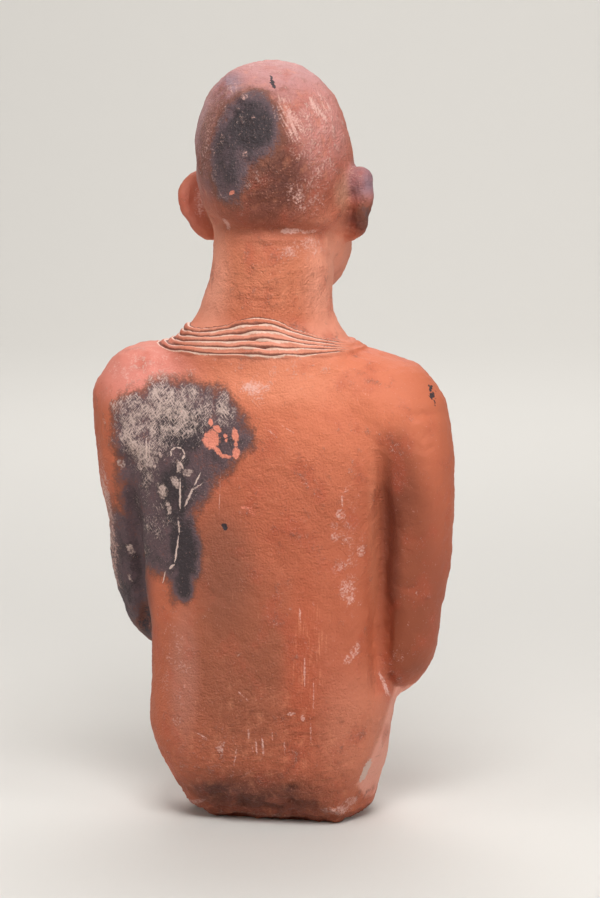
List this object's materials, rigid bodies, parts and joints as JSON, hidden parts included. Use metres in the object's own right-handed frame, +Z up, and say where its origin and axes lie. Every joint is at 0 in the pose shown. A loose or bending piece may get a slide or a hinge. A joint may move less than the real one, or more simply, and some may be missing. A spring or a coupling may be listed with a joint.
{
  "type": "terracotta figure",
  "caption": "Hand-modelled terracotta half figure with a bald turned head, long neck, strand necklace and forearms folded on the belly, broken off at the hips, stands on its cut foot.",
  "frame": {"origin": "middle of the underside of the figure's bounding box, at the level that it stands on", "axes": "+Z up from the broken foot to the crown, figure's chest facing -Y and its back +Y, +X towards the figure's own left arm"},
  "size_m": [0.1822, 0.1046, 0.3799],
  "materials": {
    "fired_clay": "matt unglazed red clay with dark fire clouds, cream deposits and fine scratches"
  },
  "bodies": {
    "root": {"figure": "fired_clay"}
  },
  "joints": []
}
